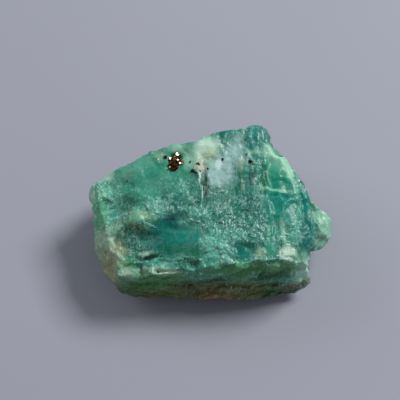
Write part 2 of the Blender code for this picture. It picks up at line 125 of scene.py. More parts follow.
# Patches of colour by where they lie, later ones over earlier ones: palette colour, middle, half size along
# its own X, Y and Z, how it is broken and, where they aren't the usual ones, its strength, the softness of
# its edge and its turn about Z in degrees
ZONES = {
    "left part of the show face": (
        ("glass_green", (-11, 4.4, 16.5), (9.8, 4.4, 3.4), GLASS, 0.9, 0.5, 14),
        ("light_glass", (-16.2, 3.6, 15.8), (2.6, 2, 2), GLASS, 0.8, 0.5, 20),
        ("emerald", (-10, 4.5, 16.9), (3, 1.3, 1.8), GLASS, 0.5, 0.7, 8),
        ("emerald", (-14.3, 0.9, 15.7), (3.2, 1.6, 1.8), CLOUD, 0.45, 0.7, 6),
        ("emerald", (-11.8, -0.3, 15.4), (2.4, 1.5, 1.6), FIBRES, 0.6),
        ("deep_green", (-15.4, -1.6, 15), (2.2, 1.6, 1.8), CLOUD, 0.8, 0.7),
        ("sea_green", (-6.8, 0.8, 16.6), (2.4, 1.8, 1.8), HALF_SUGAR, 0.5),
        ("sugar", (-9.6, -2.4, 15), (2.9, 1.8, 2), SUGAR_FIBRES, 0.8, 0.5),
        ("teal", (-6.2, -2.4, 15.6), (2, 1.4, 1.8), HALF_SUGAR, 0.9, 0.7),
        ("sea_green", (-4, -1.4, 16.1), (1.8, 2.2, 1.8), HALF_SUGAR, 0.7),
        ("mint", (-4.2, 6.4, 17.2), (1.3, 2, 1.8), CLOUD, 0.65, 0.7),
        ("emerald", (-10.8, 0.2, 15.6), (3.4, 1.1, 1.8), GLASS, 0.5, 0.8, 4),
        ("shoulder", (-12.4, 6, 16.8), (2.4, 1.3, 1.6), CLOUD, 0.5, 0.9, 16),
        ("shoulder", (-10.4, 1.3, 16), (2.2, 1, 1.6), CLOUD, 0.5, 0.9, 8),
        ("beige", (-9.6, 6.9, 17.6), (1.2, 0.9, 1.4), SUGAR, 0.5, 0.9),
        ("mint", (-6.4, 8.2, 17.6), (1.6, 0.84, 1.2), GLASS, 0.85),
    ),
    "left shoulder and left end": (
        ("shoulder", (-20.8, 0.9, 13.7), (3.1, 2.9, 3.2), SUGAR, 0.9, 0.6),
        # Painted light: a pale strip on the edge of the left shoulder, which turns away from the light
        ("pale_mint", (-22.4, 1.2, 12.8), (0.8, 1.8, 1.6), CLOUD, 0.6),
        ("pale_mint", (-19.2, 4, 14.8), (0.9, 0.8, 1.2), CLOUD, 0.75, 0.7, 30),
        ("left_green", (-21.2, -4.2, 11), (2.4, 4.2, 4.4), HALF_SUGAR, 0.9, 0.45),
        ("beige", (-20.4, -8, 9.8), (1.7, 2.8, 3), CLOUD, 0.8, 0.6),
    ),
    "sugary middle field": (
        ("grey_sugar", (3.4, -6.6, 15.3), (8.4, 5.6, 3.2), SUGAR, 0.95, 0.55),
        ("moss_grey", (0.4, -2.6, 15.9), (3.2, 1.4, 1.8), SUGAR, 0.6),
        ("sugar", (-2.4, -5.4, 15.3), (1.8, 2, 2.2), SUGAR, 0.85, 0.7, 10),
        ("sugar", (0.8, -9.4, 14.9), (3.4, 2.2, 2.2), SUGAR, 0.9),
        ("shade_green", (3.6, -5.6, 15.6), (2.2, 1.8, 1.8), SUGAR, 0.7),
        ("emerald", (4.8, -3.4, 15.8), (1.2, 1.4, 1.6), CLOUD, 0.6, 0.9),
    ),
    "dark column right of the window": (
        ("bright_teal", (6.8, 0.8, 16.5), (2.9, 4.8, 2.8), FIBRES, 0.95, 0.45, -4),
        ("shadow_green", (7.6, 2.7, 16.6), (0.84, 2, 2), CLOUD, 0.75),
        ("deep_green", (5.4, 1.6, 16.4), (0.9, 2.6, 2), FIBRES),
        ("deep_green", (9.2, 1.6, 16.6), (0.8, 1.8, 2), CLOUD),
        ("shade_green", (6.6, -3, 16), (2.8, 2.2, 2), HALF_SUGAR, 0.85, 0.6),
        ("teal", (6.2, -2.5, 16), (1.5, 1.2, 1.6), CLOUD, 0.75, 0.9),
        ("shade_green", (8.6, -2.4, 15.8), (1, 2.4, 1.8), CLOUD, 0.7, 0.8, 10),
        ("teal", (9.3, -7.8, 15), (0.8, 1.3, 1.4), GLASS),
    ),
    "milky window": (
        ("milk", (1.5, 3.8, 16.8), (2.7, 3.2, 2.8), CLOUD, 0.95, 0.4, 3),
        ("moss_grey", (2, -0.4, 16.2), (2.4, 2, 2), SUGAR, 0.55, 0.7),
        # Painted highlight: the window's bright spot
        ("milk_white", (1.2, 5.2, 16.9), (0.65, 1, 1.6), GLASS, 1, 0.35),
        ("moss_grey", (3.5, 2, 16.4), (0.4, 0.4, 1), GLASS, 0.7, 0.9),
        ("moss_grey", (2.7, 8.1, 17.8), (1.3, 1.2, 1.6), SUGAR, 0.7, 0.9),
        ("milk", (4.7, 7.4, 17.7), (1.9, 2, 2), CLOUD, 0.85, 0.7),
        ("moss_grey", (5.9, 7.4, 17.6), (0.8, 1.1, 1.4), CLOUD, 0.7),
        ("beige", (5.3, 5.2, 17.3), (0.7, 1.2, 1.4), CLOUD, 0.6, 0.9),
    ),
    "cream vein and needle": (
        ("cream", (-1, 7.9, 17.6), (2.2, 2.3, 2.2), GLASS, 0.9, 0.5, -10),
        ("yellow_cream", (-0.2, 7.2, 17.5), (1.3, 0.7, 1.4), CLOUD, 0.5, 0.9, 30),
        ("milk_white", (0.8, 9.2, 18), (0.7, 0.8, 1.2), GLASS, 0.5),
        ("pink_beige", (-2.2, 4.5, 16.9), (0.9, 1.7, 1.6), CLOUD, 0.85, 0.7),
        ("moss_grey", (-0.9, 5.7, 16.8), (0.7, 0.8, 1.6), SUGAR, 0.3),
        ("shade_green", (-1.5, -2, 15.9), (1.7, 1.8, 1.8), CLOUD, 0.9, 0.6),
        ("milk_white", (-2.25, 2.2, 17), (0.16, 1.2, 1.4), GLASS, 0.95, 0.5),
        ("shadow_green", (-1.25, 1.2, 16.4), (0.8, 3, 2.2), FIBRES, 0.85, 0.5),
        ("pale_mint", (-1.75, -0.4, 16.2), (0.12, 1.3, 1.4), GLASS, 0.85, 0.6),
    ),
    "far edge and knob": (
        ("knob_teal", (3.1, 10.8, 18), (1, 0.9, 1.6), GLASS, 0.75),
        ("milk", (4.9, 10.2, 17.9), (0.9, 1, 1.6), CLOUD, 0.6),
        ("knob_teal", (8.9, 11, 17.6), (2.5, 3.9, 4.2), FIBRES, 1, 0.35, -6),
        ("mint", (8.4, 7.5, 17.7), (1.4, 0.35, 1.2), GLASS, 0.7, 0.9),
        # Painted highlights: the thin upright white lines on the knob
        ("milk_white", (9.6, 11.4, 17.2), (0.13, 1.2, 1.8), GLASS, 0.6, 0.6, 4),
        ("milk_white", (8.8, 10.6, 17.6), (0.12, 0.8, 1.8), GLASS, 0.5, 0.6, -4),
        ("milk", (7.4, 11.4, 17.8), (0.12, 0.7, 1.8), GLASS, 0.4, 0.6),
        ("deep_green", (11, 10.6, 17), (0.5, 3, 3), FIBRES, 0.8, 0.6, 6),
    ),
    "panels": (
        ("emerald", (12, 2.8, 16.2), (3, 4, 3), GLASS, 1, 0.35, -8),
        ("shoulder", (12.3, 5.9, 16.4), (1.9, 1.7, 2), GLASS, 0.7, 0.9, -8),
        ("deep_green", (9.9, 2.6, 16.5), (0.55, 2.2, 1.8), GLASS, 0.8, 0.7),
        ("mint", (12.1, 7.8, 16.6), (2.5, 1.7, 3), GLASS, 0.95, 0.5, -8),
        ("mint", (14.1, 5, 16), (0.9, 3.6, 2.6), GLASS, 0.85, 0.45, 24),
        ("bright_teal", (12.9, -1.6, 16), (3, 1.7, 2.2), GLASS, 1, 0.45, -6),
        ("mint", (11.6, 0.4, 16.1), (3.2, 0.28, 1.4), GLASS, 0.7, 0.9, -6),
    ),
    "block": (
        ("bright_teal", (13.2, -4, 15.6), (3.3, 1.8, 2.2), GLASS, 0.95, 0.45),
        ("sea_green", (15.4, -3, 15.1), (1.3, 0.9, 1.4), GLASS, 0.3),
        ("mint", (14.4, -4.4, 15.1), (2, 0.18, 1.2), GLASS, 0.3, 0.9),
        ("sugar", (16, 0.6, 15.6), (0.7, 2.2, 1.8), SUGAR, 0.7, 0.8, 14),
        ("mint", (13.1, -3.6, 15.2), (0.1, 0.9, 1.2), GLASS, 0.4),
        ("mint", (14.6, -5, 15), (1.6, 0.1, 1.2), GLASS, 0.4, 0.8, 3),
    ),
    "right rim and right corner": (
        ("bright_teal", (17.6, -2.6, 14.3), (0.9, 6.2, 3.2), GLASS, 1, 0.35, 5),
        ("emerald", (11.1, -7.6, 14.8), (1.1, 2.7, 2.4), FIBRES, 0.85, 0.5, 4),
        ("sea_green", (10.9, -10.9, 14.3), (1.3, 1.3, 1.8), GLASS, 0.8, 0.7),
        ("mint", (13, -7.3, 14.6), (0.4, 2.2, 1.6), CLOUD, 0.7, 0.7, 8),
        ("moss_grey", (14.5, -7.1, 14.6), (1.3, 1.5, 1.8), CLOUD, 0.55),
        ("sugar", (15, -7.7, 14.8), (1.5, 1.7, 1.8), SUGAR),
        ("bright_teal", (14.3, -4.3, 15.2), (1.1, 1.5, 1.4), GLASS, 0.75),
        ("pale_mint", (13.8, -11.5, 13.6), (1.4, 1.4, 1.7), CLOUD, 0.85, 0.35, 8),
        ("teal", (17.2, -7.8, 13.2), (1.1, 4.4, 3.6), GLASS, 1, 0.45, -4),
    ),
    # The hollow's ground is painted darker than the mineral round it, partly painted shade of its depth
    "hollow": (
        ("olive", (-12.8, -4.3, 14.7), (2.6, 1, 1.4), CLOUD, 0.75, 0.7, -6),
        ("hollow_green", (-14, -8.6, 12.2), (4.4, 3.6, 3), HALF_SUGAR, 0.95, 0.35, -10),
        # Painted shadow: a dark strip under the hollow's overhanging top edge
        ("moss", (-14.6, -5.8, 13.8), (2.2, 0.6, 1.4), CLOUD, 0.6, 0.9, -14),
        ("deep_green", (-17.2, -8.2, 12.3), (0.8, 1.3, 1.4), GLASS, 0.8, 0.7),
        ("grey_sugar", (-11.6, -8.8, 12), (1.6, 1.6, 1.6), SUGAR, 0.7, 0.9),
    ),
    "pools": (
        ("teal", (-7.4, -7.9, 13.3), (4.8, 3.9, 3.2), GLASS, 1, 0.4, 4),
        ("bright_teal", (-4.4, -8.6, 13.8), (2.5, 2.6, 2.4), GLASS, 0.95, 0.5),
        ("blue_teal", (-7.4, -5.4, 13.9), (2.9, 1.4, 2.2), GLASS, 1, 0.5, 6),
        ("sugar", (-4.6, -5.4, 14.6), (1.7, 0.84, 1.4), SUGAR, 0.85),
        ("sugar", (-8.8, -3.7, 15), (1.7, 0.84, 1.4), SUGAR, 0.85),
        ("deep_green", (-7, -10.4, 13.2), (3.2, 1.4, 1.8), GLASS, 0.75, 0.7),
        ("sea_green", (-5.8, -7, 13.5), (2.8, 0.35, 1.2), GLASS, 0.7, 0.9, -8),
        ("deep_green", (-2.6, -11.9, 14), (2, 1.5, 1.6), GLASS, 0.9, 0.7, 20),
        ("teal", (5.4, -11.1, 13.9), (3, 1.3, 1.6), GLASS, 1, 0.5, -4),
        ("sea_green", (4.6, -13.2, 13.3), (3.2, 0.8, 1.2), SUGAR, 0.8, 0.7),
        ("sugar", (0.4, -11.6, 14.4), (1.9, 1.4, 1.6), SUGAR, 0.75),
        ("sugar", (4.4, -9.2, 14.8), (1.6, 0.9, 1.4), SUGAR, 0.65),
        ("beige", (8.7, -11.8, 14.3), (0.9, 0.8, 1.2), CLOUD, 0.7, 0.8, 30),
    ),
    "ridges of the left corner": (
        ("beige", (-17.8, -6.4, 13.2), (1.6, 1, 1.6), HALF_SUGAR, 0.4, 0.7, -30),
        ("pale_ledge", (-18.7, -9, 12.6), (0.9, 2.2, 1.6), HALF_SUGAR, 0.85, 0.7, 10),
        ("pale_ledge", (-17, -11.8, 12.2), (0.8, 2.6, 1.8), HALF_SUGAR, 0.65, 0.6, 28),
        ("deep_green", (-17.1, -8.9, 12.2), (0.8, 1.7, 1.4), GLASS, 0.9, 0.3),
        ("olive_beige", (-18.6, -11.8, 7.4), (2.9, 4.8, 5.8), CLOUD, 0.95, 0.4, -24),
        ("olive_brown", (-17.6, -13.6, 3), (3.4, 3.4, 2.6), CLOUD, 0.5, 0.8, -24),
    ),
    "ledges of the lip": (
        ("lip_green", (-14.8, -13, 11.6), (1.8, 0.9, 1.2), CLOUD, 0.7),
        ("pale_ledge", (-15.4, -14.8, 11), (2, 1.1, 1), CRUMBS, 0.9, 0.5),
        ("pale_ledge", (-9.4, -14.5, 11.9), (4, 0.8, 1.1), CRUMBS, 0.95, 0.5, -3),
        # Painted light: the shaded gap between the ledges is painted lighter
        ("olive", (-12, -14.9, 11.4), (1.2, 0.84, 1), CLOUD, 0.95),
        ("pale_ledge", (-11.9, -10.8, 12), (1.2, 0.45, 1), SUGAR, 0.85),
        ("shadow_green", (-11.6, -11.8, 12.2), (1.9, 0.5, 1.2), GLASS, 0.95, 0.6),
        ("deep_green", (-4.6, -13, 13), (2.2, 0.6, 1), SUGAR, 0.7, 0.9),
        ("lip_green", (8.6, -13.8, 11.8), (9.4, 1.2, 2), CLOUD, 0.9, 0.5, 2),
        ("lip_green", (-8.6, -15, 10.6), (7, 0.9, 1), LAYERS, 0.85, 0.7),
    ),
    "front face": (
        # Painted shade in part: the front face is painted dark moss where it turns away from the light
        ("moss", (-1, -18.2, 4.4), (25, 4.8, 6.6), LAYERS, 0.96, 0.2),
        ("lip_green", (5.2, -14.7, 9.2), (2.2, 1.4, 1), CLOUD, 0.7),
        ("dark_moss", (-6, -16, 8.6), (9, 1.6, 0.9), LAYERS, 0.6, 0.9),
        ("lip_green", (-12.4, -15.4, 8.8), (5.4, 1.2, 1.3), LAYERS, 0.8, 0.7),
        ("dark_moss", (9.8, -14.1, 9.4), (3.6, 1.4, 0.8), LAYERS, 0.7, 0.9),
        ("olive_brown", (-1, -16.4, 5), (9, 2.2, 2.2), LAYERS, 0.7, 0.9),
        ("pink_brown", (1.2, -16, 4.3), (2.2, 1.6, 0.8), CLOUD, 0.7, 0.9),
        ("pink_brown", (3.2, -16, 3.2), (1, 1.6, 0.6), CLOUD, 0.6, 0.9),
    ),
    "right end of the front face": (
        # Painted light: this end is painted paler where the light does not reach it, and its edge holds a
        # painted highlight
        ("mint", (16.6, -13, 8.8), (1.9, 2.4, 4.6), CLOUD, 0.9, 0.5),
        ("pale_mint", (18, -12.9, 8.6), (0.6, 1.4, 4), GLASS),
        ("rust", (15.9, -13.8, 4.8), (2.2, 2.2, 1), HALF_SUGAR, 1, 0.9),
        ("rust", (14.4, -13.8, 3.5), (1.5, 2, 0.8), CLOUD, 0.85, 0.9),
    ),
    "lobe": (
        ("teal", (18.8, -4.6, 9.6), (1.7, 4.6, 3.4), HALF_SUGAR, 0.9, 0.5),
        ("mint", (21, -1.8, 10), (2.6, 1.5, 1.6), CLOUD, 0.9, 0.5, -24),
        ("mint", (21.2, -5, 8), (2.2, 2.8, 2.4), CLOUD, 0.75, 0.6),
        ("olive_beige", (20, -5.8, 3.6), (2.6, 2.6, 1.5), CLOUD, 0.7, 0.7),
    ),
    "far side": (
        ("emerald", (-9, 12, 10), (5, 3.4, 4), GLASS, 0.8, 0.6, 18),
        ("sugar", (-1.5, 14.6, 9), (4, 3.6, 5.2), SUGAR, 0.8, 0.7),
        ("teal", (4.6, 16.4, 11), (2.6, 2.4, 3.4), GLASS, 0.9, 0.7),
        ("milk", (0.6, 14.6, 13.4), (2, 2, 2.4), CLOUD, 0.7),
        ("mint", (-13, 10.4, 12.6), (4.6, 1.6, 0.5), CLOUD, 0.6, 0.8, 22),
    ),
    "pillar under the knob": (
        ("knob_teal", (8.8, 16, 11), (2.6, 3, 6.4), FIBRES, 0.9, 0.5),
    ),
    "right side": (
        ("shade_green", (14.6, 8.8, 9), (2.6, 3, 4.6), HALF_SUGAR, 0.8, 0.6),
        ("cream", (17, 4.6, 9.6), (0.8, 3, 0.8), CLOUD, 0.65),
        ("emerald", (16.8, -0.6, 5), (2.4, 4.6, 2.6), GLASS, 0.9, 0.5),
        ("sea_green", (15, 8.6, 4), (3.4, 4, 2), LAYERS, 0.85, 0.6, 20),
        ("teal", (17.6, -8.4, 6.6), (1.8, 2.8, 3), GLASS, 0.9, 0.5),
    ),
    "low on the far side": (
        ("glass_green", (-5.4, 11.6, 5.6), (4.4, 4, 2.6), GLASS, 0.9, 0.5, 14),
        ("grey_sugar", (-15.4, 8.4, 7.6), (3.4, 3.4, 3), SUGAR, 0.85, 0.5, 30),
        ("olive", (3, 12.6, 3.4), (6, 4, 1.6), LAYERS, 0.6),
        ("deep_green", (-11.6, 10, 4.6), (3, 3, 2), GLASS, 0.85, 0.5, 20),
    ),
    "left side": (
        ("moss", (-21, 3, 7.6), (2.4, 4, 2.4), LAYERS, 0.7, 0.7),
        ("emerald", (-20.4, 6, 10.6), (2.2, 2.6, 2.6), GLASS, 0.7, 0.7),
        ("light_glass", (-19.8, 4.6, 5.2), (2.6, 3.2, 2.4), GLASS, 0.85, 0.5),
        ("milk", (-21.4, -1, 6.6), (2, 3.6, 0.7), CLOUD, 0.6),
    ),
    "underside": (
        ("moss", (-3, -8, 0.8), (13, 6, 2.4), LAYERS, 0.8, 0.6),
        ("olive_brown", (6, 3, 0.4), (8, 1.2, 1.6), CLOUD, 0.7, 0.9, 24),
        ("grey_sugar", (-12, 5, 3), (5, 4, 2.6), SUGAR, 0.8, 0.7),
        ("rust", (10.6, 9.6, 3), (2, 1.4, 1), CLOUD, 0.6, 0.9),
    ),
}


def patch(key, middle, half, broken_as, strength=0.8, softness=0.8, turn=0):
    """A row of the table above with the usual values filled in."""
    return key, middle, half, broken_as, strength, softness, turn


PATCHES = [(zone, *patch(*row)) for zone, rows in ZONES.items() for row in rows]

# Broken pieces that stand out of the lump, each the hull of its corners
PIECES = {
    "ridge of lobe": (
        (17.4, 1.2, 12.6), (19.6, -0.5, 10.9), (21.6, -1.5, 9.9), (22.5, -2.1, 9.4), (22.6, -3.6, 8.6),
        (20.4, -3.2, 9), (18.4, -1.8, 10.2), (17.8, 0.6, 6), (21.4, -2.6, 6.4), (20, -4, 6),
    ),
    "web between rim and lobe": (
        (17.6, -2, 11.6), (17.6, -6.5, 10.9), (20.4, -3.4, 8.9), (20.6, -5.4, 7.8), (18.2, -8.2, 7.4),
        (17.4, -4, 5), (19.4, -5.4, 4.6),
    ),
    "foot of lobe": (
        (20.4, -3, 8.6), (22.4, -4.6, 7.6), (22.2, -5.2, 5.8), (20.6, -6.8, 5.6), (18.8, -7.8, 6.6),
        (18.4, -4.4, 3.4), (21.2, -4.4, 4),
    ),
    "ledge of left lip": (
        (-17.4, -15, 11.3), (-13.4, -15.2, 11.2), (-13.2, -13.9, 11.7), (-17.2, -13.6, 11.6),
        (-17.2, -14.8, 10.2), (-13.6, -15, 10), (-17, -12.4, 11.5), (-13.4, -12.4, 11.8),
    ),
    "long ledge of lip": (
        (-12.6, -14.2, 12.5), (-4.4, -14.6, 13), (-3.8, -13.4, 13.3), (-12.4, -13.2, 12.8),
        (-12.4, -14, 11.4), (-4.6, -14.4, 11.8), (-12.2, -12.4, 12.4), (-4.2, -12.4, 13.1),
    ),
    "chip left in right lip": (
        (-1.8, -12.6, 14), (0.6, -12.2, 14.4), (3, -13.1, 14), (1.4, -14.7, 13.1), (-0.9, -14.1, 13.3),
        (0.6, -14.2, 11.8), (-1.2, -12.9, 12), (2.4, -12.9, 12),
    ),
    "chip in middle of right lip": (
        (3.3, -12.9, 13.9), (5.4, -12.1, 14.2), (8, -12.9, 13.9), (6.6, -14.3, 13.1), (4.4, -14.5, 13),
        (5.4, -14.2, 11.8), (3.8, -12.6, 12), (7.4, -12.6, 12.2),
    ),
    "chip right in right lip": (
        (9.6, -11.8, 14.3), (12.4, -12, 14), (12.2, -14.1, 13.1), (9.9, -13.9, 13.4),
        (11.2, -14.2, 11.4), (9.8, -12.4, 12), (12.4, -12.4, 12),
    ),
    "slab under right lip": (
        (2.6, -14.9, 8.2), (8.2, -14.5, 11.6), (9.2, -14, 11.8), (3.2, -14.2, 7.4),
        (4.8, -15.4, 7.8), (8.6, -14.8, 10.4), (3, -12.6, 9.8), (8.4, -12.6, 12),
    ),
    "second slab under right lip": (
        (9.6, -14.4, 7.6), (15.4, -13.8, 10.6), (15.8, -13.2, 11.2), (10, -13.4, 9),
        (12, -15, 7), (15.6, -14.2, 9), (10.2, -12.4, 9.8), (15.4, -12, 11.6),
    ),
    "slab low in front face": (
        (-3.6, -16.2, 4.6), (4.8, -15.9, 6), (5.4, -15.4, 4.4), (-3.2, -15.8, 2.8),
        (0.6, -16.5, 4.2), (-2.8, -14, 5.6), (4.6, -14, 7),
    ),
    "slab left in front face": (
        (-15.4, -15.8, 7.4), (-7.2, -16, 8.8), (-6.8, -15.6, 7.2), (-15, -15.2, 5.6),
        (-11, -16.3, 7.2), (-14.8, -13.6, 8.6), (-7.4, -13.8, 9.8),
    ),
    "cube at right corner": (
        (12.6, -9.9, 14.5), (15.2, -9.7, 14.3), (12.7, -12.4, 14.2), (15.1, -12.2, 13.9),
        (12.4, -9.8, 12.4), (15.4, -9.6, 12.2), (12.5, -12.6, 12.2), (15.3, -12.4, 12),
    ),
    "pinkish chip": (
        (7.7, -11.4, 14.7), (9.3, -10.9, 14.9), (9.6, -12.2, 14.5), (8, -12.7, 14.2),
        (7.6, -11.4, 13.4), (9.8, -11.6, 13.4),
    ),
    "ridge left of hollow": (
        (-19.4, -7.4, 13.3), (-17, -5.6, 14.1), (-16.4, -6.2, 13.9), (-18.3, -8, 13.3),
        (-19.8, -7.2, 11.8), (-16.2, -6, 12.4),
    ),
    "ridge to left ledge": (
        (-18.9, -8.4, 13.1), (-18.2, -8.4, 13.1), (-16.8, -12.4, 12.7), (-15.8, -12.6, 12.5),
        (-19.4, -8.4, 11.6), (-15.6, -13, 11.4),
    ),
}

# Where the skin stands out from the solid, or back from it if minus: middle, half size and how far
GROWTHS = {
    "far edge, left": ((-4, 9.2, 17), (7, 2, 3), 0.55),
    "far edge, right": ((3.6, 11.6, 17.4), (5, 2, 3), 0.5),
    "knob": ((9.2, 12.4, 16.6), (2.4, 2.2, 4), 0.75),
    "notch beside knob": ((12.8, 9.6, 16), (1.8, 2.2, 4.2), -0.75),
    "left corner": ((-20.2, -9, 8.6), (2.6, 5.6, 5), 0.85),
    "left shoulder": ((-22.2, 0.6, 12), (1.6, 3.6, 3), 0.35),
    "right rim": ((17.6, 2.4, 14.4), (2, 4.4, 3.4), -0.55),
    "foot of rim": ((18.4, -11.4, 10.6), (1.6, 2.4, 3.6), -0.75),
    "valley inside lobe": ((18.9, -4.8, 9.9), (1, 3.6, 2), -0.5),
    "foot of front face, right": ((14, -14, 1.8), (5.4, 3, 2.4), -0.6),
    "right side of knob": ((11.4, 12.2, 15.8), (1.2, 2.4, 3.4), -0.4),
}

# Open cracks and raised seams in the show face: points in plan, half width and depth (raised if minus)
CREASES = {
    "crack under hollow": (((-13.6, -11.7), (-11.6, -12.1), (-9.6, -11.6)), 0.45, 0.6),
    "groove beside streak": (((-1.5, 4), (-1.4, 0.6), (-1.6, -2.6)), 0.3, 0.18),
    "cream streak": (((-2.3, 5), (-2.1, 2), (-2.1, -1.4)), 0.35, -0.22),
    "edge of panel": (((9.3, 6), (9.1, 2.2), (9.6, -0.6)), 0.3, 0.25),
    "edge of block": (((10.6, -0.6), (13.6, -0.9), (16.2, -0.4)), 0.25, 0.22),
    "groove inside rim": (((13.6, 7.4), (15.4, 2.6), (16.8, -2), (17, -6)), 0.35, 0.28),
    "cleft below pool": (((-8.4, -11.4), (-5.4, -12.2), (-2, -11.4)), 0.6, 0.25),
    "edge of low pool": (((3, -10.4), (5.6, -10), (8.2, -10.8)), 0.6, 0.15),
    "seam of lip": (((1.6, -13.6), (5, -14), (9.6, -13), (13.4, -13.2)), 0.35, -0.2),
}

# Dark metallic grains set in the show face: place in plan and width
SMALL_CRYSTALS = (
    (-8.6, 6.5, 0.50), (-4.0, 5.7, 0.30), (-2.5, 5.2, 0.42), (-3.4, 3.6, 0.50),
    (-2.9, 3.1, 0.42), (-2.2, 3.6, 0.30), (-0.8, 4.6, 0.26), (1.9, 6.0, 0.34),
    (7.0, 5.7, 0.52), (6.5, 7.0, 0.24), (7.7, 5.2, 0.26), (-15.6, 2.6, 0.26),
)


def colour_property(name, description, shade):
    settings = {"name": name, "description": description, "default": paint(*shade)}
    return FloatVectorProperty(subtype="COLOR", size=3, min=0.0, max=1.0, **settings)


def length_property(name, description, millimetres):
    settings = {"name": name, "description": description, "default": millimetres * MM}
    return FloatProperty(min=0.0, precision=5, subtype="DISTANCE", unit="LENGTH", **settings)


def number_property(name, description, number):
    return IntProperty(name=name, description=description, default=number)


class HauynePalette(PropertyGroup):
    """The colours of the specimen's zones."""

    __annotations__ = {
        key: colour_property(key.replace("_", " ").capitalize(), words, shade)
        for key, (words, shade) in PALETTE.items()
    }


class HauyneStone(PropertyGroup):
    """Sizes of the lump's broken surface."""

    fineness: length_property("Fineness", "Width of a cell of the working skin", 0.19)
    smoothing: number_property("Smoothing", "Rounds of smoothing before the surface is broken", 8)
    triangles: number_property("Triangles", "Most triangles in the finished skin", 190000)
    facet_height: length_property("Facet height", "How far the broken facets stand out", 0.26)
    lump_height: length_property("Lump height", "How far the lumps on the facets stand out", 0.15)
    grain_height: length_property("Grain height", "How far the sugar grains stand out", 0.13)
    fibre_height: length_property("Fibre height", "How far the fibres stand out", 0.10)
    layer_height: length_property("Layer height", "How far the layers of the front face stand out", 0.34)


class HauyneCrystals(PropertyGroup):
    """Sizes and colours of the metallic crystals."""

    width: length_property("Crystal width", "Usual width of a crystal in the cluster", 0.80)
    bevel: length_property("Edge wear", "Width of the worn edges", 0.05)
    bright: colour_property("Bright face", "Fresh metallic faces", (250, 236, 212))
    tarnish: colour_property("Tarnish", "Brown tarnish over the faces", (90, 66, 40))
    dark: colour_property("Small grains", "Dark tarnish of the small grains", (82, 62, 46))


class HauyneStage(PropertyGroup):
    """The floor's colour and the camera."""

    floor: colour_property("Floor", "Colour of the plain floor", (166, 169, 183))
    distance: length_property("Camera distance", "From the camera to the middle of the view", 240.0)
    view_width: length_property("View width", "Width of the view at the specimen", 76.3)
    elevation: FloatProperty(
        name="Camera height",
        description="How steeply the camera looks down",
        default=math.radians(61.0),
        subtype="ANGLE",
        unit="ROTATION",
    )


# The middle of the view, in millimetres
VIEW_MIDDLE = (-2.2, 2.3, 8.6)
SENSOR = 36.0


def settings_of(context):
    return context.scene.hauyne


def add_object(name, mesh):
    obj = bpy.data.objects.new(name, mesh)
    bpy.context.scene.collection.objects.link(obj)
    return obj


def evaluated_mesh(obj):
    graph = bpy.context.evaluated_depsgraph_get()
    return bpy.data.meshes.new_from_object(obj.evaluated_get(graph), depsgraph=graph)


def read_points(mesh, normals=False):
    """The mesh's points in millimetres, or its point normals."""
    values = np.empty(len(mesh.vertices) * 3, np.float32)
    if normals:
        mesh.vertices.foreach_get("normal", values)
        return values.reshape(-1, 3).astype(float)
    mesh.vertices.foreach_get("co", values)
    return values.reshape(-1, 3).astype(float) / MM


def write_points(mesh, points):
    mesh.vertices.foreach_set("co", (points * MM).astype(np.float32).ravel())
    mesh.update()


def smooth_step(value, low, high):
    share = np.clip((value - low) / (high - low), 0.0, 1.0)
    return share * share * (3.0 - 2.0 * share)


NOISE_GAIN = 1.6


def wave(points, size, offset=0.0):
    """Soft noise, about -1 to 1, whose bumps are the given size in millimetres."""
    scaled = points / np.asarray(size, float) + offset
    return np.array([noise.noise(Vector(place)) for place in scaled]) * NOISE_GAIN


# Large uneven numbers that turn a whole-number corner into a chance value
CHANCE_AXES = (127.1, 311.7, 74.7)
CHANCE_STEP = 19.19
CHANCE_SPREAD = 43758.5453


def hashed(corner, number):
    """A repeatable chance value from 0 to 1 for each whole-number corner."""
    mixed = corner @ np.array(CHANCE_AXES) + number * CHANCE_STEP
    return np.modf(np.abs(np.sin(mixed) * CHANCE_SPREAD))[0]


def lumps(points, size, seed):
    """Irregular flat-faced lumps: each point takes the tilt of the nearest scattered centre."""
    size = np.asarray(size, float)
    scaled = points / size
    cell = np.floor(scaled)
    nearest = np.full(len(points), np.inf)
    value = np.zeros(len(points))
    for shift in np.ndindex(3, 3, 3):
        corner = cell + np.array(shift) - 1.0
        chance = [hashed(corner, seed + number) for number in range(6)]
        away = scaled - corner - np.stack(chance[:3], axis=1)
        distance = (away**2).sum(axis=1)
        tilt = np.stack(chance[3:], axis=1) - 0.5
        height = (away * tilt).sum(axis=1) + chance[3] - 0.5
        closer = distance < nearest
        nearest = np.where(closer, distance, nearest)
        value = np.where(closer, height, value)
    return value


def ball_share(points, middle, half):
    """1 in the middle of an egg-shaped region, fading to 0 at 1.4 of its half size."""
    radius = np.linalg.norm((points - np.array(middle)) / np.array(half), axis=1)
    return 1.0 - smooth_step(radius, 0.3, 1.4)


def patch_share(points, middle, half, strength, softness, turn):
    """How much of one patch each point has."""
    angle = math.radians(turn)
    away = points - np.array(middle)
    along = away[:, 0] * math.cos(angle) + away[:, 1] * math.sin(angle)
    across = away[:, 1] * math.cos(angle) - away[:, 0] * math.sin(angle)
    radius = np.sqrt((along / half[0]) ** 2 + (across / half[1]) ** 2 + (away[:, 2] / half[2]) ** 2)
    return strength * (1.0 - smooth_step(radius, 1.0 - softness, 1.0 + softness))


def breakage_of(points):
    """The shares of sugar grains, fibres and layers at each point."""
    shares = np.tile(np.array(HALF_SUGAR), (len(points), 1))
    for middle, half, broken_as, *edge in (patch[2:] for patch in PATCHES):
        weight = patch_share(points, middle, half, *edge)[:, None]
        shares = shares * (1.0 - weight) + np.array(broken_as) * weight
    return shares


